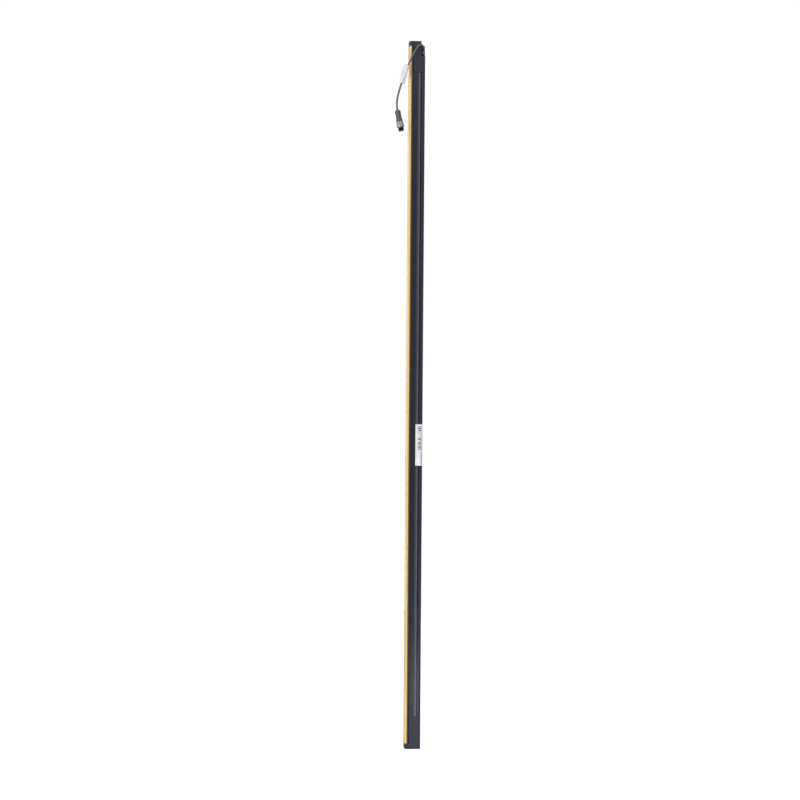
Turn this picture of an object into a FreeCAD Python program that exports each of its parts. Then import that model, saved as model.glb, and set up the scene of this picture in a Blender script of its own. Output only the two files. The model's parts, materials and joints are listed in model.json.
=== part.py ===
"""A safety light curtain bar: one long sensor housing with a moulded cover at each end.

Millimetres. +Z runs up the bar, the sensing face looks along -Y and the origin is the
centre of the bottom end. A short cable leaves a pocket in the rear of the top cover, loops
over it and hangs in front of the bar, with a round screw plug at its end.
"""
import FreeCAD, Part
import math
import os

from FreeCAD import Vector

# The bar
field_height = 1500.0        # height that the light beams guard
field_margin = 6.5           # bar length beyond the guarded height, at each end
body_width = 31.0
body_depth = 34.0
rear_corner_radius = 5.0
side_wall = 2.2
rear_wall = 2.0
web_thickness = 1.8          # wall between the optics channel and the rear chamber
chamber_corner_radius = 1.6

# The yellow rails that frame the sensing window
flank_depth = 7.5            # how far the rails reach back from the sensing face
flank_radius = 4.0           # rounding from the front lips out to the flanks' widest line
flank_return = 2.2           # how far the flanks curve back in behind that line
flank_bevel = 2.0            # housing depth that slopes out again behind the flanks
rail_end_radius = 4.0
rail_lip_width = 1.6         # front lip beside the window
rail_web_thickness = 1.2     # between the tongue's groove and the inside
ledge_reach = 1.6            # ledge that carries the window's edge
ledge_thickness = 1.2

# The window and its seals
window_thickness = 1.8
window_recess = 0.5
seal_thickness = 0.4
seal_width = 1.1
fit_gap = 0.2

# The tongues on the profile that the rails slide onto
tongue_inset = 4.4           # from the bar's side to the tongue's inner side
tongue_thickness = 1.0
tongue_length = 3.1

# The optics channel
shoulder_depth = 1.2         # step behind the tongue that widens the channel
board_shelf_depth = 15.0     # from the sensing face to the shelf that the boards lie on
boss_depth = 4.5             # screw boss behind the shelf
boss_width = 5.0
port_diameter = 3.0
port_inset = 2.5             # screw port's centre from the boss's side

# The side slots for sliding nuts
slot_from_rear = 8.8         # slot's middle from the rear face
slot_opening = 2.4
slot_chamber_width = 5.8
slot_chamber_depth = 2.8
slot_lip = 1.8
bevel_width = 7.0
bevel_depth = 0.8

# End covers
bottom_cover_length = 69.0
top_cover_length = 66.5
bottom_plate_thickness = 12.0
top_plate_thickness = 10.7
cover_wall = 2.2
cover_edge_radius = 0.8
bulkhead_thickness = 2.5
spigot_length = 8.0
spigot_wall = 1.2
gasket_thickness = 0.8
gasket_inset = 0.4
window_lip_height = 4.0
window_lip_depth = 1.8

# The notch and the cable pocket in the top cover
notch_size = 8.5
pocket_height = 23.5
pocket_width = 11.5
pocket_wall = 1.8
pocket_floor = 2.5

# End screws
screw_shank = 2.9
screw_clearance = 3.4
screw_head_diameter = 5.4
screw_head_height = 1.8
screw_engagement = 10.0
screw_socket_width = 2.5
screw_socket_depth = 1.1

# Optics and electronics
section_count = 5
section_gap = 0.4
status_zone = 36.0
beam_pitch = 28.0
carrier_side_gap = 0.3       # from the rails' ledges
carrier_gap = 2.1            # from the window's back to the carrier's front
cell_width = 9.0
cell_length = 22.0
lens_plate_thickness = 1.0
lens_width = 8.4
lens_height = 1.3
board_side_gap = 0.7         # from the channel's walls
board_thickness = 1.6
diode_size = 3.0
diode_height = 1.8
link_width = 12.0
link_length = 8.0
link_height = 1.9
controller_side_gap = 0.5    # from the screw bosses
controller_length = 232.0
controller_thickness = 1.6
socket_width = 8.0
socket_length = 10.0
socket_height = 5.0
light_pipe_diameter = 4.0
light_pipe_count = 4
light_pipe_pitch = 8.0

# Type label, wrapped from the side over the slot onto the rear face
label_bottom = 605.5
label_height = 88.5
label_reach = 5.4            # onto the bevel in front of the slot
label_wrap_angle = 86.0        # how far it goes round the rear corner
label_thickness = 0.2

# Cable, its grommet and the label on it
cable_diameter = 4.3
grommet_flange_diameter = 6.6
grommet_flange_height = 1.2
grommet_height = 5.0
grommet_tip_diameter = 5.4
grommet_neck_diameter = 5.6
lead_gap = 0.05              # between the cable and the grommet's bore
lead_drop = 16.0             # straight stretch below the exit
lead_entry = 6.0             # straight stretch into the socket
grommet_from_rear = 4.6
grommet_from_side = 5.8
flag_length = 41.0
flag_width = 13.5
flag_thickness = 0.7
flag_corner = 4.0
flag_sleeve_wall = 0.45
flag_sleeve_gap = 0.45

# Round plug on the cable
grip_length = 23.6
grip_end_diameter = 8.0
grip_end_taper = 2.8          # length of the taper at the cable's end
grip_diameter = 12.4
grip_waist_diameter = 11.0
grip_shoulder_length = 8.4     # from the cable's end to the waist's taper
grip_taper = 2.0               # length of the tapers beside the waist, per unit of height
grip_collar_diameter = 13.6
grip_collar_length = 3.4
grip_rib_count = 10
grip_rib_width = 1.0
grip_rib_depth = 1.4
grip_rib_rise = 0.5          # how far a rib stands out of the waist
nut_diameter = 15.2
nut_length = 14.0
nut_groove_count = 18
nut_groove_width = 1.3
nut_groove_depth = 0.5
nut_groove_margin = 1.6      # plain band at each end of the knurl
nut_chamfer = 0.8
thread_chamfer = 0.6
thread_diameter = 12.0
thread_length = 7.4
nut_bore_diameter = 9.8
nut_neck_diameter = 8.9
nut_neck_length = 5.0
carrier_barrel_diameter = 8.5
carrier_collar_diameter = 9.5
carrier_collar_length = 2.0
carrier_length = 14.4
running_gap = 0.3
pin_diameter = 1.0
pin_length = 6.0
pin_circle_diameter = 5.0
seal_ring_section = 1.0

# The cable's route from the grommet's tip, in steps that leave the exit point
cable_steps = [
    (0.0, 0.0, 0.0),
    (0.0, 0.0, 4.5),
    (3.8, 2.3, 10.0),
    (11.0, -0.6, 15.4),
    (14.8, -6.6, 18.4),
    (16.0, -12.6, 14.6),
    (15.6, -19.4, 3.6),
    (14.2, -30.6, -20.4),
    (12.4, -40.6, -46.0),
    (10.6, -50.8, -77.0),
    (10.2, -56.2, -99.0),
    (10.8, -56.6, -115.1),
    (11.6, -55.1, -123.0),
]

# Worked out from the values above
total_length = field_height + 2 * field_margin
half_width = body_width / 2
front = -body_depth / 2
rear = body_depth / 2
rail_back = front + flank_depth
flank_widest = front + flank_radius
flank_end = half_width - flank_return
lip_outer = half_width - flank_radius
rail_bottom = bottom_plate_thickness
rail_top = total_length - top_plate_thickness
bottom_seam = bottom_cover_length
top_seam = total_length - top_cover_length
profile_bottom = bottom_seam + gasket_thickness
profile_top = top_seam - gasket_thickness
window_width = 2 * (lip_outer - rail_lip_width - fit_gap)
window_front = front + window_recess
window_back = window_front + window_thickness
ledge_front = window_back + seal_thickness
ledge_back = ledge_front + ledge_thickness
lip_back = ledge_front + window_lip_depth
window_side = window_width / 2 + fit_gap
ledge_inner = window_side - ledge_reach
tongue_end = rail_back - tongue_length
tongue_inner = half_width - tongue_inset
tongue_outer = tongue_inner + tongue_thickness
rail_inner = tongue_inner - fit_gap - rail_web_thickness
shoulder_back = rail_back + shoulder_depth
channel_half = half_width - side_wall
board_width = 2 * (channel_half - board_side_gap)
shelf = front + board_shelf_depth
web_front = shelf + boss_depth
web_back = web_front + web_thickness
boss_inner = channel_half - boss_width
controller_width = 2 * (boss_inner - controller_side_gap)
port_x = channel_half - port_inset
port_y = shelf + boss_depth / 2
slot_middle = rear - slot_from_rear
slot_front = slot_middle - slot_opening / 2
slot_back = slot_middle + slot_opening / 2
slot_floor = half_width - slot_lip - slot_chamber_depth
chamber_half = slot_floor - web_thickness
chamber_back = rear - rear_wall
pocket_inner = half_width - pocket_width
pocket_front = rear - notch_size
notch_bottom = total_length - notch_size
pocket_bottom = notch_bottom - pocket_height
grommet_x = half_width - grommet_from_side
grommet_y = rear - grommet_from_rear
carrier_front = window_back + carrier_gap
carrier_width = 2 * (ledge_inner - carrier_side_gap)
board_front = shelf - board_thickness
optics_bottom = rail_bottom + window_lip_height + fit_gap
optics_top = rail_top - window_lip_height - fit_gap - status_zone
section_length = (optics_top - optics_bottom) / section_count
beams_per_section = int((section_length - section_gap) / beam_pitch)


def wire_through(steps):
    """Closed wire through (x, y) corners; a corner given as (x, y, mx, my) is reached by an arc."""
    edges = []
    corners = steps + [steps[0]]
    for start, end in zip(corners, corners[1:]):
        a = Vector(start[0], start[1], 0)
        b = Vector(end[0], end[1], 0)
        if len(end) == 4:
            edges.append(Part.Arc(a, Vector(end[2], end[3], 0), b).toShape())
        else:
            edges.append(Part.LineSegment(a, b).toShape())
    return Part.Wire(edges)


def prism(steps, bottom, top):
    """Solid between two heights with the outline given by its corners."""
    face = Part.Face(wire_through(steps))
    face.translate(Vector(0, 0, bottom))
    return face.extrude(Vector(0, 0, top - bottom))


def block(x0, x1, y0, y1, z0, z1):
    """Box between two corners."""
    return Part.makeBox(x1 - x0, y1 - y0, z1 - z0, Vector(x0, y0, z0))


def rod(radius, x, y, bottom, top):
    """Upright cylinder between two heights."""
    return Part.makeCylinder(radius, top - bottom, Vector(x, y, bottom))


def mirrored(half):
    """The given half joined to its mirror image across the middle plane."""
    other = half.mirror(Vector(0, 0, 0), Vector(1, 0, 0))
    return half.fuse(other).removeSplitter()


def flank_front_middle():
    """Point halfway round the quarter circle between the front lip and the widest line."""
    short = flank_radius * (1 - math.sqrt(0.5))
    return half_width - short, front + short


def flank_return_middle():
    """Point halfway along the arc that leaves the widest line smoothly and curves back in."""
    depth = rail_back - flank_widest
    radius = (flank_return ** 2 + depth ** 2) / (2 * flank_return)
    half_turn = math.atan2(depth, radius - flank_return) / 2
    x = half_width - radius * (1 - math.cos(half_turn))
    return x, flank_widest + radius * math.sin(half_turn)


def rear_corner(inset):
    """Corners of the rear right rounding, set in from the outside by a distance."""
    radius = rear_corner_radius - inset
    middle_x = half_width - rear_corner_radius
    middle_y = rear - rear_corner_radius
    diagonal = radius * math.sqrt(0.5)
    return [
        (half_width - inset, middle_y),
        (middle_x, rear - inset, middle_x + diagonal, middle_y + diagonal),
        (0, rear - inset),
    ]


def outline_half():
    """Right half of the end plates' outline."""
    flank = (half_width, flank_widest) + flank_front_middle()
    return [(0, front), (lip_outer, front), flank] + rear_corner(0)


def channel_corners():
    """Inside of the optics channel from the middle of its back, the tongue and the side's bevel."""
    return [
        (0, web_front),
        (boss_inner, web_front),
        (boss_inner, shelf),
        (channel_half, shelf),
        (channel_half, shoulder_back),
        (tongue_inner, shoulder_back),
        (tongue_inner, tongue_end),
        (tongue_outer, tongue_end),
        (tongue_outer, rail_back),
        (flank_end, rail_back),
        (half_width, rail_back + flank_bevel),
    ]


def slot_corners():
    """Side slot: a bevelled run-in, a narrow mouth and a wider chamber behind its lips."""
    lip_inner = half_width - slot_lip
    chamber_front = slot_middle - slot_chamber_width / 2
    chamber_rear = slot_middle + slot_chamber_width / 2
    return [
        (half_width, slot_front - bevel_width),
        (half_width - bevel_depth, slot_front),
        (lip_inner, slot_front),
        (lip_inner, chamber_front),
        (slot_floor, chamber_front),
        (slot_floor, chamber_rear),
        (lip_inner, chamber_rear),
        (lip_inner, slot_back),
        (half_width, slot_back),
    ]


def rear_chamber(bottom, top, inset):
    """Rounded block that fills the profile's rear chamber, set in by a distance."""
    half = chamber_half - inset
    core = block(-half, half, web_back + inset, chamber_back - inset, bottom, top)
    upright = [e for e in core.Edges if abs(e.BoundBox.ZLength - (top - bottom)) < 0.001]
    return core.makeFillet(chamber_corner_radius, upright)


def port_rods(diameter, bottom, top):
    """The pair of rods on the screw ports' axes."""
    right = rod(diameter / 2, port_x, port_y, bottom, top)
    left = rod(diameter / 2, -port_x, port_y, bottom, top)
    return right.fuse(left)


def housing_profile():
    section = channel_corners() + slot_corners() + rear_corner(0)
    bar = mirrored(prism(section, profile_bottom, profile_top))
    bar = bar.cut(rear_chamber(profile_bottom, profile_top, 0))
    return bar.cut(port_rods(port_diameter, profile_bottom, profile_top))


def rail_zone():
    """Space that the rails fill, with rounded corners where they meet the end plates."""
    zone = block(-half_width, half_width, front, rail_back, rail_bottom, rail_top)
    ends = [
        e for e in zone.Edges
        if e.BoundBox.XLength > body_width / 2 and abs(e.CenterOfMass.y - rail_back) < 0.001
    ]
    return zone.makeFillet(rail_end_radius, ends)


def front_rail():
    """Right rail: bulged flank, groove for the tongue and ledge under the window."""
    groove_in = tongue_inner - fit_gap
    groove_out = tongue_outer + fit_gap
    groove_end = tongue_end - fit_gap
    section = [
        (flank_end, rail_back),
        (half_width, flank_widest) + flank_return_middle(),
        (lip_outer, front) + flank_front_middle(),
        (window_side, front),
        (window_side, ledge_front),
        (ledge_inner, ledge_front),
        (ledge_inner, ledge_back),
        (rail_inner, ledge_back),
        (rail_inner, rail_back),
        (groove_in, rail_back),
        (groove_in, groove_end),
        (groove_out, groove_end),
        (groove_out, rail_back),
    ]
    return prism(section, rail_bottom, rail_top).common(rail_zone())


def front_window():
    half = window_width / 2
    return block(-half, half, window_front, window_back, rail_bottom + fit_gap, rail_top - fit_gap)


def window_seal():
    """Right strip of sealing tape between the window and the rail's ledge."""
    outer = window_width / 2
    bottom = rail_bottom + window_lip_height
    top = rail_top - window_lip_height
    return block(outer - seal_width, outer, window_back, ledge_front, bottom, top)


def window_end_seals():
    """Sealing tape between the window's ends and the lips on the end plates."""
    half = window_width / 2
    length = window_lip_height - fit_gap
    seals = [
        block(-half, half, window_back, ledge_front, bottom, bottom + length)
        for bottom in (rail_bottom + fit_gap, rail_top - window_lip_height)
    ]
    return Part.makeCompound(seals)


def end_plate(bottom, top, outer_height):
    """Plate with the bar's full outline and a rounded rim on its outer face."""
    plate = mirrored(prism(outline_half(), bottom, top))
    rim = [
        e for e in plate.Edges
        if abs(e.CenterOfMass.z - outer_height) < 0.001 and e.BoundBox.ZLength < 0.001
    ]
    return plate.makeFillet(cover_edge_radius, rim)


def cover_skirt(bottom, top):
    """Hollow sleeve that carries on the profile's outline, open to the front."""
    inner_side = half_width - cover_wall
    inner_rear = rear - cover_wall
    corner = rear_corner_radius / 2
    inside = [
        (0, inner_rear),
        (inner_side - corner, inner_rear),
        (inner_side, inner_rear - corner),
        (inner_side, web_front),
    ]
    return mirrored(prism(inside + channel_corners()[1:] + rear_corner(0), bottom, top))


def rail_corner_fill(bottom, top):
    """Blocks beside the rails' rounded ends, with the end plates' outline."""
    section = [
        (rail_inner, front),
        (lip_outer, front),
        (half_width, flank_widest) + flank_front_middle(),
        (half_width, rail_back),
        (rail_inner, rail_back),
    ]
    return mirrored_pair(prism(section, bottom, top).cut(rail_zone()))


def mirrored_pair(half):
    """The given solid and its mirror image as one group."""
    return Part.makeCompound([half, half.mirror(Vector(0, 0, 0), Vector(1, 0, 0))])


def seam_bulkhead(bottom, top):
    """Wall across the skirt at the seam, with the wire opening in it."""
    inner_side = half_width - cover_wall
    wall = block(-inner_side, inner_side, web_front, rear - cover_wall, bottom, top)
    wall = wall.common(mirrored(prism(outline_half(), bottom, top)))
    return wall.cut(rear_chamber(bottom, top, fit_gap + spigot_wall))


def spigot(bottom, top):
    """Short tube that centres the cover in the profile's rear chamber."""
    return rear_chamber(bottom, top, fit_gap).cut(rear_chamber(bottom, top, fit_gap + spigot_wall))


def bottom_end_cover():
    half = window_width / 2
    lip_top = rail_bottom + window_lip_height
    cover = end_plate(0, bottom_plate_thickness, 0)
    cover = cover.fuse(cover_skirt(bottom_plate_thickness, bottom_seam))
    cover = cover.fuse(seam_bulkhead(bottom_seam - bulkhead_thickness, bottom_seam))
    cover = cover.fuse(spigot(bottom_seam - bulkhead_thickness, profile_bottom + spigot_length))
    cover = cover.fuse(block(-half, half, ledge_front, lip_back, rail_bottom, lip_top))
    cover = cover.fuse(rail_corner_fill(rail_bottom, rail_bottom + rail_end_radius).Solids)
    cover = cover.cut(front_rail_pair())
    cover = cover.cut(port_rods(screw_clearance, 0, bottom_seam))
    cover = cover.cut(port_rods(screw_head_diameter + 2 * fit_gap, 0, screw_head_height + fit_gap))
    return cover.removeSplitter()


def front_rail_pair():
    return mirrored_pair(front_rail())


def pocket_surround():
    """Walls and floor of the cable pocket, inside the top cover's outline."""
    bottom = pocket_bottom - pocket_floor
    inner = pocket_inner - pocket_wall
    walls = block(inner, half_width, pocket_front - pocket_wall, rear, bottom, notch_bottom)
    return walls.common(mirrored(prism(outline_half(), bottom, notch_bottom)))


def top_end_cover():
    half = window_width / 2
    lip_bottom = rail_top - window_lip_height
    cover = end_plate(rail_top, total_length, total_length)
    cover = cover.fuse(cover_skirt(top_seam, rail_top))
    cover = cover.fuse(seam_bulkhead(top_seam, top_seam + bulkhead_thickness))
    cover = cover.fuse(spigot(profile_top - spigot_length, top_seam + bulkhead_thickness))
    cover = cover.fuse(block(-half, half, ledge_front, lip_back, lip_bottom, rail_top))
    cover = cover.fuse(rail_corner_fill(rail_top - rail_end_radius, rail_top).Solids)
    cover = cover.fuse(pocket_surround())
    cover = cover.cut(front_rail_pair())
    cover = cover.cut(port_rods(screw_clearance, top_seam, total_length))
    head_seat = total_length - screw_head_height - fit_gap
    cover = cover.cut(port_rods(screw_head_diameter + 2 * fit_gap, head_seat, total_length))
    cover = cover.cut(block(-half_width, half_width, pocket_front, rear, notch_bottom, total_length))
    cover = cover.cut(block(pocket_inner, half_width, pocket_front, rear, pocket_bottom, total_length))
    hole_radius = (grommet_neck_diameter + fit_gap) / 2
    floor_hole = rod(hole_radius, grommet_x, grommet_y, pocket_bottom - pocket_floor, pocket_bottom)
    return cover.cut(floor_hole).removeSplitter()


def seam_gasket(bottom, top):
    """Flat gasket between a cover and the profile, set in a little so the seam shows as a groove."""
    end = rail_back + flank_bevel
    side = [(channel_half, end), (half_width - gasket_inset, end)]
    section = channel_corners()[:4] + side + rear_corner(gasket_inset)
    gasket = mirrored(prism(section, bottom, top))
    return gasket.cut(rear_chamber(bottom, top, 0)).cut(port_rods(screw_clearance, bottom, top))


def end_screw(x, head_height, direction):
    """Long screw on a port's axis, its head in the end plate and its tip in the profile."""
    mouth = profile_bottom if direction > 0 else profile_top
    tip = mouth + direction * screw_engagement
    under_head = head_height + direction * screw_head_height
    head = rod(screw_head_diameter / 2, x, port_y, *sorted([head_height, under_head]))
    shank = rod(screw_shank / 2, x, port_y, *sorted([under_head, tip]))
    socket = Part.Wire(Part.makePolygon([
        Vector(
            x + screw_socket_width / 2 * math.cos(math.radians(60 * k)),
            port_y + screw_socket_width / 2 * math.sin(math.radians(60 * k)),
            head_height,
        )
        for k in range(7)
    ]).Edges)
    socket = Part.Face(socket).extrude(Vector(0, 0, direction * screw_socket_depth))
    return head.fuse(shank).cut(socket).removeSplitter()


def end_screws(head_height, direction):
    return Part.makeCompound([end_screw(x, head_height, direction) for x in (-port_x, port_x)])


def beam_heights(index):
    """Heights of one section's beams, centred in the section."""
    bottom = optics_bottom + index * section_length
    middle = bottom + (section_length - section_gap) / 2
    first = middle - beam_pitch * (beams_per_section - 1) / 2
    return [first + beam_pitch * k for k in range(beams_per_section)]


def section_span(index):
    bottom = optics_bottom + index * section_length
    return bottom, bottom + section_length - section_gap


def optics_carrier(index):
    """Ladder of light shafts between the circuit board and the lenses."""
    bottom, top = section_span(index)
    half = carrier_width / 2
    body = block(-half, half, carrier_front, board_front, bottom, top)
    side = cell_width / 2
    reach = cell_length / 2
    shafts = [
        block(-side, side, carrier_front, board_front, z - reach, z + reach)
        for z in beam_heights(index)
    ]
    return body.cut(Part.makeCompound(shafts))


def lens_strip(index):
    """Clear strip with one cylindrical lens for each beam on its inner side."""
    bottom, top = section_span(index)
    half = carrier_width / 2
    back = carrier_front
    plate = block(-half, half, back - lens_plate_thickness, back, bottom, top)
    lenses = []
    for z in beam_heights(index):
        low = Vector(-lens_width / 2, back, z - lens_width / 2)
        high = Vector(-lens_width / 2, back, z + lens_width / 2)
        crown = Vector(-lens_width / 2, back + lens_height, z)
        wire = Part.Wire([Part.Arc(low, crown, high).toShape(), Part.LineSegment(high, low).toShape()])
        lenses.append(Part.Face(wire).extrude(Vector(lens_width, 0, 0)))
    return plate.fuse(lenses).removeSplitter()


def beam_board(index):
    bottom, top = section_span(index)
    return block(-board_width / 2, board_width / 2, board_front, shelf, bottom, top)


def beam_diodes():
    """One light source or receiver in the middle of each shaft."""
    half = diode_size / 2
    chips = []
    for index in range(section_count):
        for z in beam_heights(index):
            chips.append(block(-half, half, board_front - diode_height, board_front, z - half, z + half))
    return Part.makeCompound(chips)


def board_links():
    """Connectors behind the joints between neighbouring boards."""
    links = []
    for index in range(1, section_count):
        seam = optics_bottom + index * section_length - section_gap / 2
        links.append(block(
            -link_width / 2, link_width / 2, shelf, shelf + link_height,
            seam - link_length / 2, seam + link_length / 2,
        ))
    return Part.makeCompound(links)


def status_board():
    bottom = optics_bottom + section_count * section_length
    return block(-board_width / 2, board_width / 2, board_front, shelf, bottom, bottom + status_zone)


def status_light_pipes():
    """Clear rods that carry the status lights from their board to the window."""
    middle = optics_top + status_zone / 2
    first = middle - light_pipe_pitch * (light_pipe_count - 1) / 2
    pipes = []
    for k in range(light_pipe_count):
        base = Vector(0, board_front, first + light_pipe_pitch * k)
        pipes.append(Part.makeCylinder(
            light_pipe_diameter / 2, board_front - window_back - fit_gap, base, Vector(0, -1, 0),
        ))
    return Part.makeCompound(pipes)


def controller_top():
    """The socket at the board's top end sits just above the bulkhead of the top cover."""
    return top_seam + bulkhead_thickness + fit_gap + socket_length


def controller_board():
    back = shelf + link_height
    top = controller_top()
    half = controller_width / 2
    return block(-half, half, back, back + controller_thickness, top - controller_length, top)


def controller_links():
    """Spacer connectors that carry the controller board behind the beam boards."""
    top = controller_top()
    half = link_width / 2
    heights = [top - link_length, top - controller_length]
    return Part.makeCompound([
        block(-half, half, shelf, shelf + link_height, z, z + link_length) for z in heights
    ])


def cable_socket():
    """Plug-in socket for the cable's inner end, on the controller board."""
    back = shelf + link_height + controller_thickness
    top = controller_top()
    half = socket_width / 2
    return block(lead_x() - half, lead_x() + half, back, back + socket_height, top - socket_length, top)


def lead_x():
    return controller_width / 2 - socket_width / 2


def cable_exit():
    return Vector(grommet_x, grommet_y, pocket_bottom + grommet_height)


def cable_route():
    return [cable_exit() + Vector(*step) for step in cable_steps]


def bent_path(points):
    """Straight runs joined by tangent arcs, with each arc's radius."""
    edges = []
    radii = []
    start = points[0]
    for before, here, after in zip(points, points[1:], points[2:]):
        run_in = here - before
        run_out = after - here
        turn = run_in.getAngle(run_out)
        reach = 0.45 * min(run_in.Length, run_out.Length)
        radius = reach / math.tan(turn / 2)
        way_in = Vector(run_in).normalize()
        way_out = Vector(run_out).normalize()
        arc_start = here - way_in * reach
        arc_end = here + way_out * reach
        inward = (way_out - way_in).normalize()
        arc_middle = here + inward * (math.hypot(radius, reach) - radius)
        edges.append(Part.LineSegment(start, arc_start).toShape())
        edges.append(Part.Arc(arc_start, arc_middle, arc_end).toShape())
        radii.append(radius)
        start = arc_end
    edges.append(Part.LineSegment(start, points[-1]).toShape())
    return Part.Wire(edges), radii


def tube(points, diameter, label):
    """Round cable along a bent path; prints its radii and its volume against section times length."""
    path, radii = bent_path(points)
    stretches = []
    for edge in path.Edges:
        start = edge.valueAt(edge.FirstParameter)
        heading = edge.tangentAt(edge.FirstParameter)
        disc = Part.Face(Part.Wire([Part.Circle(start, heading, diameter / 2).toShape()]))
        if isinstance(edge.Curve, Part.Line):
            stretches.append(disc.extrude(heading * edge.Length))
        else:
            circle = edge.Curve
            turn = math.degrees(edge.Length / circle.Radius)
            stretches.append(disc.revolve(circle.Center, circle.Axis, turn))
    solid = stretches[0].fuse(stretches[1:])
    expected = math.pi * diameter ** 2 / 4 * path.Length
    print(label, "length", round(path.Length, 2), "volume ratio", round(solid.Volume / expected, 4))
    print(label, "radii", [round(r, 1) for r in radii])
    return solid.Solids[0]


def cable_grommet():
    """Strain relief in the pocket's floor, tapering up around the cable."""
    floor_underside = pocket_bottom - pocket_floor
    tip = pocket_bottom + grommet_height
    neck = rod(grommet_neck_diameter / 2, grommet_x, grommet_y, floor_underside, pocket_bottom)
    flange_top = pocket_bottom + grommet_flange_height
    flange = rod(grommet_flange_diameter / 2, grommet_x, grommet_y, pocket_bottom, flange_top)
    taper = Part.makeCone(
        grommet_flange_diameter / 2 - fit_gap, grommet_tip_diameter / 2,
        grommet_height - grommet_flange_height, Vector(grommet_x, grommet_y, flange_top),
    )
    bore = rod(cable_diameter / 2 + lead_gap, grommet_x, grommet_y, floor_underside, tip)
    return neck.fuse([flange, taper]).cut(bore).removeSplitter()


def inner_lead():
    """The cable's stretch inside the cover, from the grommet's tip to the socket."""
    start = cable_exit()
    back = shelf + link_height + controller_thickness
    end = Vector(lead_x(), back + socket_height / 2, controller_top())
    bend_in = start - Vector(0, 0, lead_drop)
    bend_out = end + Vector(0, 0, lead_entry)
    return tube([start, bend_in, bend_out, end], cable_diameter, "inner lead")


def flag_label():
    """Clear film folded round the cable and pressed together at both sides."""
    top, middle, bottom = cable_route()[7:10]
    along = (bottom - top).normalize()
    middle = (top + middle * 2 + bottom) * 0.25
    half = flag_length / 2
    sleeve_radius = cable_diameter / 2 + flag_sleeve_gap
    film = Part.makePolygon([
        Vector(-flag_width / 2, 0, half - flag_corner),
        Vector(-flag_width / 2 + flag_corner, 0, half),
        Vector(flag_width / 2, 0, half),
        Vector(flag_width / 2, 0, -half + flag_corner),
        Vector(flag_width / 2 - flag_corner, 0, -half),
        Vector(-flag_width / 2, 0, -half),
        Vector(-flag_width / 2, 0, half - flag_corner),
    ])
    film = Part.Face(film).extrude(Vector(0, flag_thickness, 0))
    film.translate(Vector(0, -flag_thickness / 2, 0))
    sleeve = rod(sleeve_radius + flag_sleeve_wall, 0, 0, -half, half)
    bore = rod(sleeve_radius, 0, 0, -half, half)
    label = film.fuse(sleeve).cut(bore).removeSplitter()
    upright = FreeCAD.Rotation(Vector(0, 0, -1), along)
    facing = upright.multiply(FreeCAD.Rotation(Vector(0, 0, 1), 90))
    label.Placement = FreeCAD.Placement(middle, facing)
    return label


def on_plug(shape):
    """Moves a shape modelled downwards from the origin onto the plug's axis."""
    route = cable_route()
    along = (route[-1] - route[-2]).normalize()
    shape.Placement = FreeCAD.Placement(route[-1], FreeCAD.Rotation(Vector(0, 0, -1), along))
    return shape


def turned(radii_and_depths):
    """Solid of revolution about the plug's axis from (radius, depth below the origin) corners."""
    corners = [Vector(radius, 0, -depth) for radius, depth in radii_and_depths]
    corners.append(corners[0])
    face = Part.Face(Part.makePolygon(corners))
    return face.revolve(Vector(0, 0, 0), Vector(0, 0, 1), 360)


def plug_grip():
    """Moulded grip: tapered cable end, ribbed waist and a collar against the nut."""
    radius = grip_diameter / 2
    waist = grip_waist_diameter / 2
    collar = grip_collar_diameter / 2
    collar_top = grip_length - grip_collar_length
    waist_top = grip_shoulder_length + (radius - waist) * grip_taper
    waist_end = collar_top - (collar - waist) * grip_taper
    body = turned([
        (0, 0),
        (grip_end_diameter / 2, 0),
        (radius, grip_end_taper),
        (radius, grip_shoulder_length),
        (waist, waist_top),
        (waist, waist_end),
        (collar, collar_top),
        (collar, grip_length),
        (0, grip_length),
    ])
    rib_corner = Vector(waist + grip_rib_rise - grip_rib_depth, -grip_rib_width / 2, -waist_end)
    ribs = []
    for k in range(grip_rib_count):
        rib = Part.makeBox(grip_rib_depth, grip_rib_width, waist_end - waist_top, rib_corner)
        rib.rotate(Vector(0, 0, 0), Vector(0, 0, 1), 360.0 * k / grip_rib_count)
        ribs.append(rib)
    return on_plug(body.fuse(ribs).removeSplitter())


def coupling_nut():
    """Knurled ring with a threaded front, free to turn on the contact carrier."""
    outer = nut_diameter / 2
    thread = thread_diameter / 2
    top = grip_length + running_gap
    shoulder = top + nut_length
    tip = shoulder + thread_length
    neck = nut_neck_diameter / 2
    neck_end = top + nut_neck_length
    bore = nut_bore_diameter / 2
    body = turned([
        (neck, top),
        (outer - nut_chamfer, top),
        (outer, top + nut_chamfer),
        (outer, shoulder - nut_chamfer),
        (outer - nut_chamfer, shoulder),
        (thread, shoulder),
        (thread, tip - thread_chamfer),
        (thread - thread_chamfer, tip),
        (bore, tip),
        (bore, neck_end),
        (neck, neck_end),
    ])
    low = nut_groove_margin - shoulder
    high = -nut_groove_margin - top
    deepest = outer - nut_groove_depth
    clear = outer + nut_groove_depth
    side = nut_groove_width
    groove = prism([(deepest, 0), (clear, -side), (clear, side)], low, high)
    grooves = []
    for k in range(nut_groove_count):
        copy = groove.copy()
        copy.rotate(Vector(0, 0, 0), Vector(0, 0, 1), 360.0 * k / nut_groove_count)
        grooves.append(copy)
    return on_plug(body.cut(Part.makeCompound(grooves)))


def carrier_front_depth():
    return grip_length + carrier_length


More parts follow.
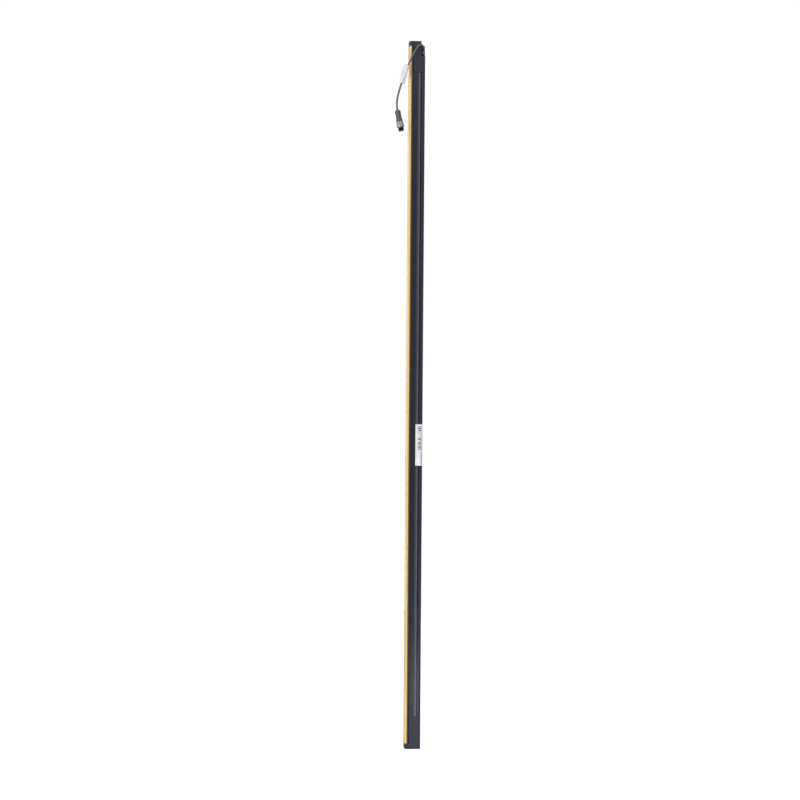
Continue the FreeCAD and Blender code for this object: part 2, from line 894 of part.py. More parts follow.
def contact_carrier():
    """Insulating barrel inside the nut, with the collar that keeps the nut on."""
    barrel = carrier_barrel_diameter / 2
    collar = carrier_collar_diameter / 2
    collar_top = grip_length + running_gap + nut_neck_length + running_gap
    collar_end = collar_top + carrier_collar_length
    front_depth = carrier_front_depth()
    body = turned([
        (0, grip_length),
        (barrel, grip_length),
        (barrel, collar_top),
        (collar, collar_top),
        (collar, collar_end),
        (barrel, collar_end),
        (barrel, front_depth),
        (0, front_depth),
    ])
    return on_plug(body)


def pin_places():
    around = [(pin_circle_diameter / 2, 45 + 90 * k) for k in range(4)]
    return [(0, 0)] + around


def contact_pins():
    """Four pins on a circle and one in the middle."""
    pins = []
    for radius, angle in pin_places():
        x = radius * math.cos(math.radians(angle))
        y = radius * math.sin(math.radians(angle))
        face = -carrier_front_depth()
        pins.append(on_plug(rod(pin_diameter / 2, x, y, face - pin_length, face)))
    return Part.makeCompound(pins)


def plug_seal_ring():
    """Ring seal between the nut's collar and the carrier's front."""
    inner = carrier_barrel_diameter / 2
    collar_end = grip_length + running_gap * 2 + nut_neck_length + carrier_collar_length
    body = turned([
        (inner, collar_end),
        (inner + seal_ring_section / 2, collar_end),
        (inner + seal_ring_section / 2, collar_end + seal_ring_section),
        (inner, collar_end + seal_ring_section),
    ])
    return on_plug(body)


def type_label():
    """Label that lies on the side's bevel, bridges the slot and wraps round the rear corner."""
    middle_x = half_width - rear_corner_radius
    middle_y = rear - rear_corner_radius
    side_start = slot_front - label_reach
    bevel_x = half_width - bevel_depth
    start_x = bevel_x + bevel_depth * label_reach / bevel_width

    def on_corner(radius, angle):
        turn = math.radians(angle)
        return middle_x + radius * math.cos(turn), middle_y + radius * math.sin(turn)

    inside = rear_corner_radius
    outside = rear_corner_radius + label_thickness
    half_wrap = label_wrap_angle / 2
    section = [
        (half_width, slot_back),
        (bevel_x, slot_front),
        (start_x, side_start),
        (start_x + label_thickness, side_start),
        (bevel_x + label_thickness, slot_front),
        (half_width + label_thickness, slot_back),
        (half_width + label_thickness, middle_y),
        on_corner(outside, label_wrap_angle) + on_corner(outside, half_wrap),
        on_corner(inside, label_wrap_angle),
        (half_width, middle_y) + on_corner(inside, half_wrap),
    ]
    return prism(section, label_bottom, label_bottom + label_height)


def left_of(shape):
    return shape.mirror(Vector(0, 0, 0), Vector(1, 0, 0))


def all_parts():
    """Every piece of the light curtain by its name."""
    parts = {
        "housing_profile": housing_profile(),
        "front_rail_right": front_rail(),
        "front_rail_left": left_of(front_rail()),
        "front_window": front_window(),
        "window_seal_right": window_seal(),
        "window_seal_left": left_of(window_seal()),
        "window_end_seals": window_end_seals(),
        "bottom_end_cover": bottom_end_cover(),
        "top_end_cover": top_end_cover(),
        "bottom_seam_gasket": seam_gasket(bottom_seam, profile_bottom),
        "top_seam_gasket": seam_gasket(profile_top, top_seam),
        "bottom_end_screws": end_screws(0, 1),
        "top_end_screws": end_screws(total_length, -1),
        "beam_diodes": beam_diodes(),
        "board_links": board_links(),
        "status_board": status_board(),
        "status_light_pipes": status_light_pipes(),
        "controller_board": controller_board(),
        "controller_links": controller_links(),
        "cable_socket": cable_socket(),
        "cable_grommet": cable_grommet(),
        "inner_lead": inner_lead(),
        "cable": tube(cable_route(), cable_diameter, "cable"),
        "cable_flag_label": flag_label(),
        "plug_grip": plug_grip(),
        "coupling_nut": coupling_nut(),
        "contact_carrier": contact_carrier(),
        "contact_pins": contact_pins(),
        "plug_seal_ring": plug_seal_ring(),
        "type_label": type_label(),
    }
    for index in range(section_count):
        number = str(index + 1)
        parts["optics_carrier_" + number] = optics_carrier(index)
        parts["lens_strip_" + number] = lens_strip(index)
        parts["beam_board_" + number] = beam_board(index)
    return parts


os.makedirs("parts", exist_ok=True)
for name, shape in all_parts().items():
    shape.exportStep("parts/" + name + ".step")
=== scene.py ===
import json
import math

import bpy
from mathutils import Matrix, Vector


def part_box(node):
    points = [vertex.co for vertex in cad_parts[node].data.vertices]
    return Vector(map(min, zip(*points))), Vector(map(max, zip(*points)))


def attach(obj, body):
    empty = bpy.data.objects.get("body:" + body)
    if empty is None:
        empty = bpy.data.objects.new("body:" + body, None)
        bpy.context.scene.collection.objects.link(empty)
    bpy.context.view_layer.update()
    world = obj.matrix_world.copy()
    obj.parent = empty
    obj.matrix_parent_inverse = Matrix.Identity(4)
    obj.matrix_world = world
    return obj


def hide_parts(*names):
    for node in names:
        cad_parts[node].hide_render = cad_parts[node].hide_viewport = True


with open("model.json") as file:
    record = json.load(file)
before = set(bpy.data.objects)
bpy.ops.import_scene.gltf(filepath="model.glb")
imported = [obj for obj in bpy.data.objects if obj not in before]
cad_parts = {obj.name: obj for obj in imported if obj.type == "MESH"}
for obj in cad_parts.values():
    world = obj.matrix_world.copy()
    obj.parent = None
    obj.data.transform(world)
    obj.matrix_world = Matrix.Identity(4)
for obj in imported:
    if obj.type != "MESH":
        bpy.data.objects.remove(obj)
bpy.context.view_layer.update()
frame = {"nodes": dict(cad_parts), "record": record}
nodes = frame["nodes"]

# The cable's route, as in the part's source, in metres
cable_exit = (0.0097, 0.0124, 1.486)
cable_steps = [
    (0.0, 0.0, 0.0),
    (0.0, 0.0, 0.0045),
    (0.0038, 0.0023, 0.01),
    (0.011, -0.0006, 0.0154),
    (0.0148, -0.0066, 0.0184),
    (0.016, -0.0126, 0.0146),
    (0.0156, -0.0194, 0.0036),
    (0.0142, -0.0306, -0.0204),
    (0.0124, -0.0406, -0.046),
    (0.0106, -0.0508, -0.077),
    (0.0102, -0.0562, -0.099),
    (0.0108, -0.0566, -0.1151),
    (0.0116, -0.0551, -0.123),
]
cable_diameter = 0.0043

# Plug sizes, in metres, from the cable's end along the plug's axis
grip_length = 0.0236
grip_radius = 0.0062
grip_end_radius = 0.004
grip_waist_radius = 0.0055
grip_collar_radius = 0.0068
grip_collar_length = 0.0034
grip_shoulder_length = 0.0084
grip_dome_stretch = 1.4     # the rounded cable end is longer than it is wide
grip_blend = 0.003          # length of the swell into the waist and out to the collar
grip_waist_lead = 0.0016    # the waist's swell starts this much before the shoulder's end
grip_collar_lead = 0.0026   # and the collar's this much before the collar
grip_swell_margin = 0.0006
grip_edge_radius = 0.0004
grip_bore_clearance = 0.00002
grip_bore_depth = 0.0006
grip_front_bore_radius = 0.00435
grip_front_bore_depth = 0.0005
grip_rib_count = 10
grip_rib_rise = 0.0005
grip_rib_fade = 0.002
running_gap = 0.0003
nut_radius = 0.0076
nut_length = 0.014
nut_chamfer = 0.0008
nut_groove_count = 18
nut_groove_depth = 0.0005
nut_groove_margin = 0.0016
nut_groove_fade = 0.0005
nut_groove_lead = 0.0004
thread_radius = 0.006
thread_depth = 0.0006
thread_pitch = 0.001
thread_length = 0.0074
thread_relief = 0.0006      # plain neck behind the thread, and the length of its run-in
thread_run_out = 0.0004
thread_end_margin = 0.0002
thread_step = 0.0001
nut_bore_radius = 0.0049
nut_neck_radius = 0.00445
nut_neck_length = 0.005

# Film label on the cable, in metres
film_length = 0.041
film_width = 0.0146
film_cut_width = 0.0048     # two corners are cut off
film_cut_length = 0.0095
film_ply = 0.00017          # half the thickness of the wings
film_bulge = 0.0026         # reach of the pocket round the cable
film_along = 0.1005         # from the exit along the cable to the film's middle
film_curl = 18.0            # bend of the wings, per metre
film_turn = 2.2             # how far the curl turns over the film's length, in radians
film_turn_start = 0.6
film_ripple = 0.0002
film_ripple_along = 260     # radians per metre
film_ripple_across = 300

# Plain bars on the type label, in metres
code_bottom = 0.0345        # lowest bar above the label's lower edge
code_start = 0.0035         # from the label's rear edge
print_thickness = 0.00002
code_bars = [               # rise above the lowest bar, height, length
    (0.0, 0.0022, 0.006), (0.004, 0.003, 0.0064), (0.0088, 0.0014, 0.0064),
    (0.0118, 0.0034, 0.0064), (0.017, 0.0016, 0.006), (0.0204, 0.0034, 0.0064),
    (0.0256, 0.0012, 0.0064), (0.0302, 0.001, 0.005), (0.0346, 0.0014, 0.0064),
    (0.039, 0.003, 0.006), (0.0436, 0.0034, 0.0064), (0.0484, 0.0012, 0.0064),
]
upright_line = (0.004, 0.0235, 0.0028, 0.0034)  # bottom, top, start, end

# Camera: beside the cable's side, a little towards the front, at the bar's middle height
view_azimuth = math.radians(85.0)
view_distance = 5.0
view_width = 1.7143         # width of the picture at the object
view_roll = math.radians(0.43)
aim_across = -0.0306
aim_height = 0.7456

# Studio: lamps as name, place, aim, size and power
lamps = [
    ("key", (2.6, -2.4, 1.6), (0, 0, 0.75), (1.6, 2.4), 64.0),
    ("side", (2.9, 0.9, 0.9), (0, 0, 0.75), (0.6, 2.4), 9.0),
    ("low", (0.5, 0.06, 0.06), (0, 0, 0.06), (0.2, 0.1), 0.75),
    ("high", (0.9, 0.1, 1.7), (0, 0, 1.5), (0.3, 0.26), 0.85),
    ("back", (-3.0, -0.36, 0.95), (0, 0, 0.8), (1.0, 1.86), 6.5),
]
ambient_strength = 0.42
floor_radius = 12
floor_sides = 64
floor_grey = 0.6
floor_lift = 0.76           # brings the lit floor up to the white surroundings


def route_points():
    return [Vector(cable_exit) + Vector(step) for step in cable_steps]


def linear(red, green, blue):
    """Scene colour of a screen colour given in 0 to 255."""
    def channel(value):
        share = value / 255
        return share / 12.92 if share <= 0.04045 else ((share + 0.055) / 1.055) ** 2.4
    return channel(red), channel(green), channel(blue), 1.0


def mesh_object(name, vertices, faces, smooth=True):
    mesh = bpy.data.meshes.new(name)
    mesh.from_pydata([tuple(v) for v in vertices], [], faces)
    mesh.validate()
    mesh.update()
    if smooth:
        mesh.polygons.foreach_set("use_smooth", [True] * len(mesh.polygons))
    piece = bpy.data.objects.new(name, mesh)
    bpy.context.scene.collection.objects.link(piece)
    return piece


def new_material(name, colour, roughness, metallic=0.0, specular=0.5):
    """A shader whose even values sit on its own sockets."""
    material = bpy.data.materials.new(name)
    material.use_nodes = True
    shader = material.node_tree.nodes["Principled BSDF"]
    shader.inputs["Base Color"].default_value = colour
    shader.inputs["Roughness"].default_value = roughness
    shader.inputs["Metallic"].default_value = metallic
    shader.inputs["Specular IOR Level"].default_value = specular
    return material


def noise(material, scale, stretch=(1, 1, 1), detail=3.0):
    """Noise in the object's own metres; stretch squeezes it along an axis."""
    tree = material.node_tree
    place = tree.nodes.new("ShaderNodeTexCoord")
    mapping = tree.nodes.new("ShaderNodeMapping")
    mapping.inputs["Scale"].default_value = stretch
    texture = tree.nodes.new("ShaderNodeTexNoise")
    texture.inputs["Scale"].default_value = scale
    texture.inputs["Detail"].default_value = detail
    tree.links.new(place.outputs["Object"], mapping.inputs["Vector"])
    tree.links.new(mapping.outputs["Vector"], texture.inputs["Vector"])
    return texture.outputs["Fac"]


def vary_colour(material, pattern, dark, light):
    """Base colour that drifts between two close tones."""
    tree = material.node_tree
    ramp = tree.nodes.new("ShaderNodeValToRGB")
    ramp.color_ramp.elements[0].position = 0.35
    ramp.color_ramp.elements[0].color = dark
    ramp.color_ramp.elements[1].position = 0.65
    ramp.color_ramp.elements[1].color = light
    tree.links.new(pattern, ramp.inputs["Fac"])
    tree.links.new(ramp.outputs["Color"], tree.nodes["Principled BSDF"].inputs["Base Color"])


def vary_roughness(material, pattern, low, high):
    tree = material.node_tree
    span = tree.nodes.new("ShaderNodeMapRange")
    span.inputs["From Min"].default_value = 0.3
    span.inputs["From Max"].default_value = 0.7
    span.inputs["To Min"].default_value = low
    span.inputs["To Max"].default_value = high
    tree.links.new(pattern, span.inputs["Value"])
    tree.links.new(span.outputs["Result"], tree.nodes["Principled BSDF"].inputs["Roughness"])


def add_bump(material, pattern, depth, edge_radius=0.0):
    """Bump of a depth in metres, over edges that look softened by a radius."""
    tree = material.node_tree
    bump = tree.nodes.new("ShaderNodeBump")
    bump.inputs["Strength"].default_value = 1.0
    bump.inputs["Distance"].default_value = depth
    tree.links.new(pattern, bump.inputs["Height"])
    if edge_radius:
        bevel = tree.nodes.new("ShaderNodeBevel")
        bevel.inputs["Radius"].default_value = edge_radius
        tree.links.new(bevel.outputs["Normal"], bump.inputs["Normal"])
    tree.links.new(bump.outputs["Normal"], tree.nodes["Principled BSDF"].inputs["Normal"])


def dress(piece, *materials):
    piece.data.materials.clear()
    for material in materials:
        piece.data.materials.append(material)


def tint_across(material, stops):
    """Multiplies the base colour by tones at distances from the middle towards the rear."""
    tree = material.node_tree
    start, end = stops[0][0], stops[-1][0]
    place = tree.nodes.new("ShaderNodeTexCoord")
    split = tree.nodes.new("ShaderNodeSeparateXYZ")
    span = tree.nodes.new("ShaderNodeMapRange")
    span.inputs["From Min"].default_value = start
    span.inputs["From Max"].default_value = end
    ramp = tree.nodes.new("ShaderNodeValToRGB")
    elements = ramp.color_ramp.elements
    while len(elements) < len(stops):
        elements.new(0.5)
    for element, (depth, tone) in zip(elements, stops):
        element.position = (depth - start) / (end - start)
        element.color = tone
    blend = tree.nodes.new("ShaderNodeMix")
    blend.data_type = "RGBA"
    blend.blend_type = "MULTIPLY"
    blend.inputs["Factor"].default_value = 1.0
    base = tree.nodes["Principled BSDF"].inputs["Base Color"]
    tree.links.new(place.outputs["Object"], split.inputs["Vector"])
    tree.links.new(split.outputs["Y"], span.inputs["Value"])
    tree.links.new(span.outputs["Result"], ramp.inputs["Fac"])
    tree.links.new(base.links[0].from_socket, blend.inputs["A"])
    tree.links.new(ramp.outputs["Color"], blend.inputs["B"])
    tree.links.new(blend.outputs["Result"], base)


def anodised_black():
    """Black anodised extrusion with drawing lines, a painted highlight on the run-in to the slot
    and a painted reflection of the yellow rail along the front edge.
    """
    material = new_material("anodised_black", linear(84, 88, 102), 0.42, 0.1, 0.26)
    lines = noise(material, 900.0, (1, 1, 0.004), 4.0)
    vary_colour(material, lines, linear(80, 84, 98), linear(92, 96, 110))
    # Painted highlight: across the side the tone rises from dark through mid to light on the
    # run-in just before the slot.
    dark, mid, light = (0.035, 0.045, 0.09, 1), (0.3, 0.31, 0.38, 1), (1, 1, 1, 1)
    # Painted reflection: brown tints the front edge beside the yellow rail with the rail's colour.
    # Behind the slot the tone is lighter than on the side.
    brown, rear_start, rear_end = (0.7, 0.52, 0.44, 1), (0.15, 0.15, 0.2, 1), (0.18, 0.18, 0.23, 1)
    tint_across(material, [
        (-0.0096, brown), (-0.0076, dark), (-0.0005, dark), (0.0028, mid),
        (0.0066, light), (0.0071, dark), (0.0094, rear_start), (0.0171, rear_end),
    ])
    vary_roughness(material, noise(material, 60.0, (1, 1, 0.05)), 0.32, 0.44)
    add_bump(material, lines, 0.000012, 0.0002)
    return material


def rail_yellow():
    """Satin powder coat with a fine orange peel; the rear of its return into the groove is painted
    dark as shade.
    """
    material = new_material("rail_yellow", linear(236, 200, 112), 0.4, 0.0, 0.4)
    drift = noise(material, 40.0, (1, 1, 0.1))
    vary_colour(material, drift, linear(229, 193, 102), linear(238, 203, 116))
    # Painted shade: the rear of the rail, where it turns back into the groove beside the housing,
    # is painted dark.
    full, painted_groove_shade = (1, 1, 1, 1), (0.17, 0.14, 0.24, 1)
    tint_across(material, [(-0.017, full), (-0.0137, full), (-0.0125, painted_groove_shade), (-0.0095, painted_groove_shade)])
    add_bump(material, noise(material, 1400.0), 0.00002, 0.0003)
    return material


def window_dark():
    """Polished tinted window."""
    material = new_material("window_dark", linear(24, 12, 18), 0.06, 0.0, 0.25)
    vary_colour(material, noise(material, 6.0), linear(20, 10, 15), linear(27, 14, 20))
    vary_roughness(material, noise(material, 25.0), 0.04, 0.1)
    return material


def cover_plastic():
    """Glass-filled plastic with a fine spark-eroded texture."""
    material = new_material("cover_plastic", linear(24, 26, 42), 0.5, 0.0, 0.3)
    vary_colour(material, noise(material, 500.0), linear(22, 24, 38), linear(32, 35, 53))
    add_bump(material, noise(material, 2500.0, (1, 1, 1), 2.0), 0.00003, 0.0004)
    return material


def plain(name, colour, roughness, metallic=0.0, grain=1500.0, depth=0.00001):
    """Satin surface with a slight drift in tone and a fine grain."""
    material = new_material(name, colour, roughness, metallic)
    darker = [value * 0.85 for value in colour[:3]] + [1.0]
    vary_colour(material, noise(material, grain / 8), darker, colour)
    add_bump(material, noise(material, grain), depth)
    return material


def clear_plastic(name, colour, weight):
    material = new_material(name, colour, 0.08)
    shader = material.node_tree.nodes["Principled BSDF"]
    shader.inputs["Transmission Weight"].default_value = weight
    vary_roughness(material, noise(material, 200.0), 0.05, 0.14)
    return material


def cable_sheath():
    """Satin sheath with a slight gloss that catches the light along its sides."""
    material = plain("cable_sheath", linear(50, 50, 60), 0.36, 0.0, 900.0, 0.00002)
    shader = material.node_tree.nodes["Principled BSDF"]
    shader.inputs["Coat Weight"].default_value = 0.9
    shader.inputs["Coat Roughness"].default_value = 0.1
    return material


def flag_film():
    """Milky label film that lets the cable show through faintly."""
    material = plain("flag_film", linear(247, 238, 240), 0.32, 0.0, 700.0, 0.00003)
    material.node_tree.nodes["Principled BSDF"].inputs["Alpha"].default_value = 0.92
    return material


def worn_nickel(name, dark, light, roughness):
    """Plated metal with duller patches."""
    material = new_material(name, light, roughness, 1.0)
    vary_colour(material, noise(material, 700.0, (1, 1, 1), 2.0), dark, light)
    vary_roughness(material, noise(material, 900.0), roughness - 0.06, roughness + 0.1)
    add_bump(material, noise(material, 3000.0), 0.000004)
    return material


materials = {
    "anodised_black": anodised_black(),
    "rail_yellow": rail_yellow(),
    "window_dark": window_dark(),
    "cover_plastic": cover_plastic(),
    "seal_rubber": plain("seal_rubber", linear(14, 14, 15), 0.9),
    "screw_steel": plain("screw_steel", linear(186, 184, 180), 0.32, 1.0),
    "carrier_plastic": plain("carrier_plastic", linear(30, 30, 32), 0.6),
    "lens_clear": clear_plastic("lens_clear", linear(225, 230, 236), 0.9),
    "board_green": plain("board_green", linear(38, 92, 62), 0.4),
    "connector_plastic": plain("connector_plastic", linear(224, 220, 204), 0.5),
    "diode_clear": clear_plastic("diode_clear", linear(214, 216, 230), 0.6),
    "cable_sheath": cable_sheath(),
    "flag_film": flag_film(),
    "grip_black": plain("grip_black", linear(76, 74, 86), 0.42, 0.0, 2200.0, 0.00003),
    "nut_nickel": worn_nickel("nut_nickel", linear(112, 99, 102), linear(142, 128, 132), 0.28),
    "insert_dark": plain("insert_dark", linear(72, 36, 44), 0.5),
    "pin_gold": plain("pin_gold", linear(226, 190, 112), 0.25, 1.0),
    "ring_brown": plain("ring_brown", linear(92, 56, 48), 0.6),
    "label_white": plain("label_white", linear(250, 247, 254), 0.45, 0.0, 400.0, 0.000008),
}
# Painted shade: the thread is nickel like the ring, but is painted much darker, with a maroon
# cast, as shade in and around its grooves.
thread_painted_shade = worn_nickel("thread_painted_shade", linear(40, 22, 28), linear(84, 58, 64), 0.34)
print_grey = plain("print_grey", linear(112, 106, 118), 0.6, 0.0, 2000.0, 0.000004)


def dress_cad_nodes():
    """Every CAD node takes the material of its slot."""
    for subpart in frame["record"]["subparts"]:
        dress(nodes[subpart["node"]], materials[subpart["material_slot"]])


def route_curve(name, resolution):
    """Curve of one smooth spline that has the route's points as its control points."""
    points = route_points()
    curve = bpy.data.curves.new(name, "CURVE")
    curve.dimensions = "3D"
    curve.resolution_u = resolution
    spline = curve.splines.new("NURBS")
    spline.points.add(len(points) - 1)
    for point, place in zip(spline.points, points):
        point.co = (*place, 1.0)
    spline.order_u = 3
    spline.use_endpoint_u = True
    return bpy.data.objects.new(name, curve)


def cable():
    """Free cable: a round tube along the route's smooth line."""
    piece = route_curve("free_cable", 16)
    piece.data.bevel_depth = cable_diameter / 2
    piece.data.bevel_resolution = 6
    piece.data.use_fill_caps = True
    bpy.context.scene.collection.objects.link(piece)
    dress(piece, materials["cable_sheath"])
    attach(piece, "bar")
    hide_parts("cable")
    return piece


def on_plug():
    """Place of the plug: its own -Z runs on along the cable's last step."""
    points = route_points()
    along = (points[-1] - points[-2]).normalized()
    turn = Vector((0, 0, -1)).rotation_difference(along)
    return Matrix.Translation(points[-1]) @ turn.to_matrix().to_4x4()


def turned(name, outline, segments, swell=None):
    """Closed ring surface from (radius, depth) corners; swell adds to the radius."""
    vertices = []
    for radius, depth in outline:
        for k in range(segments):
            angle = 2 * math.pi * k / segments
            reach = radius + (swell(radius, depth, angle) if swell else 0)
            vertices.append((reach * math.cos(angle), reach * math.sin(angle), -depth))
    faces = []
    rings = len(outline)
    for ring in range(rings):
        here = ring * segments
        there = (ring + 1) % rings * segments
        for k in range(segments):
            after = (k + 1) % segments
            faces.append((here + k, here + after, there + after, there + k))
    piece = mesh_object(name, vertices, faces)
    piece.data.transform(on_plug())
    return piece


def smooth_share(share):
    share = min(max(share, 0.0), 1.0)
    return share * share * (3 - 2 * share)


def between(start, end, count):
    return [start + (end - start) * k / count for k in range(count + 1)]


def plug_grip():
    """Soft moulded grip: rounded cable end, ribbed waist and a collar."""
    collar_top = grip_length - grip_collar_length
    bore = cable_diameter / 2 + grip_bore_clearance
    outline = [(bore, grip_bore_depth), (bore, 0.0)]
    dome = grip_radius - grip_end_radius
    outline += [
        (grip_end_radius + dome * math.sin(turn), dome * grip_dome_stretch * (1 - math.cos(turn)))
        for turn in between(0, math.pi / 2, 8)
    ]
    waist_start = grip_shoulder_length - grip_waist_lead
    collar_start = collar_top - grip_collar_lead
    for depth in between(waist_start - grip_swell_margin, collar_top + grip_swell_margin, 40):
        into = smooth_share((depth - waist_start) / grip_blend)
        out = smooth_share((depth - collar_start) / grip_blend)
        radius = grip_radius - (grip_radius - grip_waist_radius) * into
        outline.append((radius + (grip_collar_radius - radius) * out, depth))
    outline += [
        (
            grip_collar_radius - grip_edge_radius * (1 - math.cos(turn)),
            grip_length - grip_edge_radius * (1 - math.sin(turn)),
        )
        for turn in between(0, math.pi / 2, 4)
    ]
    outline += [
        (grip_front_bore_radius, grip_length),
        (grip_front_bore_radius, grip_length - grip_front_bore_depth),
    ]

    def ribs(radius, depth, angle):
        if radius < grip_end_radius + 0.0005:
            return 0.0
        wave = smooth_share(0.5 + 1.6 * (0.5 + 0.5 * math.cos(angle * grip_rib_count) - 0.55))
        rise = smooth_share((depth - grip_shoulder_length) / grip_rib_fade)
        fall = smooth_share((collar_top - grip_edge_radius - depth) / grip_rib_fade)
        return grip_rib_rise * wave * rise * fall

    piece = turned("moulded_grip", outline, 160, ribs)
    dress(piece, materials["grip_black"])
    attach(piece, "bar")
    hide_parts("plug_grip")
    return piece


def coupling_ring():
    """Knurled ring with its threaded front; it turns on the contact carrier."""
    top = grip_length + running_gap
    shoulder = top + nut_length
    tip = shoulder + thread_length
    low = top + nut_groove_margin
    high = shoulder - nut_groove_margin
    thread_start = shoulder + thread_relief
    thread_end = tip - thread_run_out
    root = thread_radius - thread_depth
    groove_depths = between(low - nut_groove_lead, high + nut_groove_lead, 24)
    thread_depths = between(thread_start + thread_step, thread_end, 56)
    outline = [(nut_neck_radius, top)]
    outline += [(nut_radius - nut_chamfer, top), (nut_radius, top + nut_chamfer)]
    outline += [(nut_radius, depth) for depth in groove_depths]
    outline += [(nut_radius, shoulder - nut_chamfer), (nut_radius - nut_chamfer, shoulder)]
    outline += [(root, shoulder), (root, thread_start)]
    outline += [(thread_radius, depth) for depth in thread_depths]
    outline += [(root, tip), (nut_bore_radius, tip)]
    outline += [(nut_bore_radius, top + nut_neck_length), (nut_neck_radius, top + nut_neck_length)]

    def relief(radius, depth, angle):
        if radius == nut_radius:
            groove = max(0.0, math.cos(angle * nut_groove_count) - 0.1) / 0.9
            start = smooth_share((depth - low) / nut_groove_fade)
            end = smooth_share((high - depth) / nut_groove_fade)
            return -nut_groove_depth * groove * start * end
        if radius == thread_radius:
            phase = ((depth - shoulder) / thread_pitch - angle / (2 * math.pi)) % 1.0
            flank = min(1.0, max(0.0, abs(phase - 0.5) * 2.6 - 0.15))
            run_in = (depth - thread_start) / thread_relief
            run_out = (thread_end + thread_end_margin - depth) / thread_relief
            return -thread_depth * (1 - (1 - flank) * max(0.0, min(1.0, run_in, run_out)))
        return 0.0

    piece = turned("coupling_ring", outline, 216, relief)
    dress(piece, materials["nut_nickel"], thread_painted_shade)
    plug = on_plug().inverted()
    for face in piece.data.polygons:
        if -(plug @ face.center).z > shoulder + thread_step:
            face.material_index = 1
    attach(piece, "coupling_nut")
    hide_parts("coupling_nut")
    return piece


def route_line(steps):
    """Places on the route's smooth line, at distances from the exit, with their headings."""
    helper = route_curve("route_line", 32)
    line = [v.co.copy() for v in bpy.data.meshes.new_from_object(helper).vertices]
    bpy.data.objects.remove(helper)
    reach = [0.0]
    for before, after in zip(line, line[1:]):
        reach.append(reach[-1] + (after - before).length)
    places = []
    for wanted in steps:
        k = max(i for i in range(len(reach) - 1) if reach[i] <= wanted)
        share = (wanted - reach[k]) / (reach[k + 1] - reach[k])
        places.append((line[k].lerp(line[k + 1], share), (line[k + 1] - line[k]).normalized()))
    return places


def film_flag():
    """Label film folded round the cable, its two plies pressed together at both sides."""
    rows, columns = 44, 40
    half = film_length / 2
    places = route_line(between(film_along - half, film_along + half, rows))
    slant = film_cut_width / film_cut_length
    facing = Vector((1, 0, 0))
    fronts, backs = [], []
    for row, (centre, heading) in enumerate(places):
        across = heading.cross(facing).normalized()
        out = across.cross(heading).normalized()
        depth = film_length * row / rows
        turn = film_turn * depth / film_length + film_turn_start
        low = -film_width / 2 + slant * max(0.0, film_cut_length - depth)
        high = film_width / 2 - slant * max(0.0, depth - film_length + film_cut_length)
        for column in range(columns + 1):
            w = low + (high - low) * column / columns
            pocket = film_bulge * smooth_share(1.35 - abs(w) / film_bulge / 1.25)
            ripple = math.sin(depth * film_ripple_along + w * film_ripple_across)
            lean = film_curl * w * w * math.sin(turn) + film_ripple * ripple
            fronts.append(centre + across * w + out * (lean + film_ply + pocket))
            backs.append(centre + across * w + out * (lean - film_ply - pocket))
    width = columns + 1
    total = len(fronts)
    faces = []
    for row in range(rows):
        for column in range(columns):
            a = row * width + column
            faces.append((a, a + 1, a + width + 1, a + width))
            faces.append((total + a, total + a + width, total + a + width + 1, total + a + 1))
    for row in range(rows):
        a = row * width
        faces.append((a, a + width, total + a + width, total + a))
        b = a + columns
        faces.append((b, total + b, total + b + width, b + width))
    piece = mesh_object("film_flag", fronts + backs, faces)
    dress(piece, materials["flag_film"])
    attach(piece, "bar")
    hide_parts("cable_flag_label")
    return piece


def label_marks():
    """Rows of plain bars on the type label, with no lettering."""
    low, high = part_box("type_label")
    side = high[0] + print_thickness
    bars = [
        (code_bottom + rise, code_bottom + rise + height, code_start, code_start + length)
        for rise, height, length in code_bars
    ]
    vertices, faces = [], []
    for bottom, top, start, end in bars + [upright_line]:
        corner = len(vertices)
        z0, z1 = low[2] + bottom, low[2] + top
        y0, y1 = high[1] - end, high[1] - start
        for x in (side - print_thickness, side):
            vertices += [(x, y0, z0), (x, y1, z0), (x, y1, z1), (x, y0, z1)]
        faces.append([corner + 4 + k for k in range(4)])
        for k in range(4):
            after = (k + 1) % 4
            faces.append([corner + k, corner + after, corner + 4 + after, corner + 4 + k])
    piece = mesh_object("label_bars", vertices, faces, False)
    dress(piece, print_grey)
    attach(piece, "bar")
    return piece


def camera():
    """Long lens level with the bar's middle."""
    across = Vector((math.cos(view_azimuth), math.sin(view_azimuth), 0))
    away = Vector((math.sin(view_azimuth), -math.cos(view_azimuth), 0))
    up = Vector((0, 0, 1))
    aim = across * aim_across + up * aim_height
    right = across * math.cos(view_roll) + up * math.sin(view_roll)
    top = up * math.cos(view_roll) - across * math.sin(view_roll)
    data = bpy.data.cameras.new("camera")
    data.lens = data.sensor_width * view_distance / view_width
    data.clip_end = 50.0
    piece = bpy.data.objects.new("camera", data)
    place = aim + away * view_distance
    piece.matrix_world = Matrix((
        (right.x, top.x, away.x, place.x),
        (right.y, top.y, away.y, place.y),
        (right.z, top.z, away.z, place.z),
        (0, 0, 0, 1),
    ))
    bpy.context.scene.collection.objects.link(piece)
    bpy.context.scene.camera = piece


def area_light(name, place, aim, size, power):
    data = bpy.data.lights.new(name, "AREA")
    data.shape = "RECTANGLE"
    data.size, data.size_y = size
    data.energy = power
    piece = bpy.data.objects.new(name, data)
    piece.location = place
    piece.rotation_euler = (Vector(aim) - Vector(place)).to_track_quat("-Z", "Y").to_euler()
    bpy.context.scene.collection.objects.link(piece)


def white_for_seen_rays(tree):
    """1 for camera, glossy and transmission rays, which see the white background."""
    path = tree.nodes.new("ShaderNodeLightPath")
    glossy = tree.nodes.new("ShaderNodeMath")
    glossy.operation = "MAXIMUM"
    seen = tree.nodes.new("ShaderNodeMath")
    seen.operation = "MAXIMUM"
    tree.links.new(path.outputs["Is Camera Ray"], glossy.inputs[0])
    tree.links.new(path.outputs["Is Glossy Ray"], glossy.inputs[1])
    tree.links.new(glossy.outputs[0], seen.inputs[0])
    tree.links.new(path.outputs["Is Transmission Ray"], seen.inputs[1])
    return seen.outputs[0]


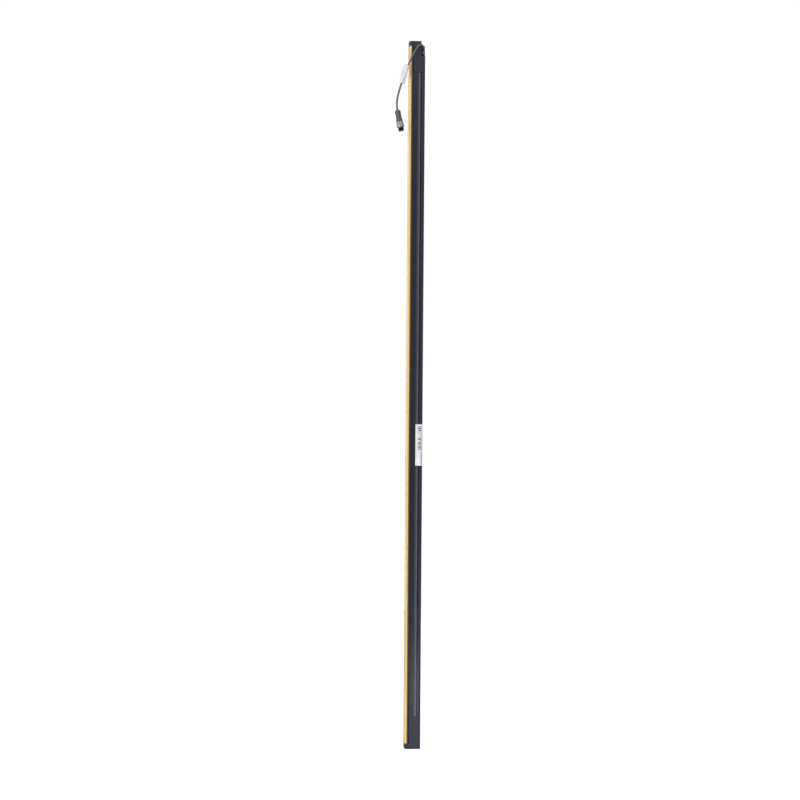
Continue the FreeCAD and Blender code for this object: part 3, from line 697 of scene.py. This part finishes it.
def studio():
    """Pale floor, white surroundings and soft lamps."""
    world = bpy.data.worlds.new("studio")
    bpy.context.scene.world = world
    world.use_nodes = True
    tree = world.node_tree
    ambient = tree.nodes["Background"]
    ambient.inputs["Color"].default_value = (1, 1, 1, 1)
    ambient.inputs["Strength"].default_value = ambient_strength
    seen = tree.nodes.new("ShaderNodeBackground")
    seen.inputs["Color"].default_value = (1, 1, 1, 1)
    seen.inputs["Strength"].default_value = 1.0
    choose = tree.nodes.new("ShaderNodeMixShader")
    tree.links.new(white_for_seen_rays(tree), choose.inputs["Fac"])
    tree.links.new(ambient.outputs["Background"], choose.inputs[1])
    tree.links.new(seen.outputs["Background"], choose.inputs[2])
    tree.links.new(choose.outputs["Shader"], tree.nodes["World Output"].inputs["Surface"])

    rim = [
        (floor_radius * math.cos(turn), floor_radius * math.sin(turn), 0)
        for turn in between(0, 2 * math.pi, floor_sides)[:-1]
    ]
    floor = mesh_object("floor", rim, [tuple(range(floor_sides))], False)
    pale = bpy.data.materials.new("pale_floor")
    pale.use_nodes = True
    tree = pale.node_tree
    shader = tree.nodes["Principled BSDF"]
    shader.inputs["Base Color"].default_value = (floor_grey, floor_grey, floor_grey, 1)
    shader.inputs["Roughness"].default_value = 0.9
    shader.inputs["Specular IOR Level"].default_value = 0.0
    glow = tree.nodes.new("ShaderNodeEmission")
    lift = tree.nodes.new("ShaderNodeMath")
    lift.operation = "MULTIPLY"
    lift.inputs[1].default_value = floor_lift
    total = tree.nodes.new("ShaderNodeAddShader")
    tree.links.new(white_for_seen_rays(tree), lift.inputs[0])
    tree.links.new(lift.outputs[0], glow.inputs["Strength"])
    tree.links.new(shader.outputs["BSDF"], total.inputs[0])
    tree.links.new(glow.outputs["Emission"], total.inputs[1])
    tree.links.new(total.outputs["Shader"], tree.nodes["Material Output"].inputs["Surface"])
    dress(floor, pale)

    for lamp in lamps:
        area_light(*lamp)
    bpy.context.scene.view_settings.view_transform = "Standard"


dress_cad_nodes()
camera()
free_cable = cable()
grip = plug_grip()
ring = coupling_ring()
flag = film_flag()
label_marks()
studio()
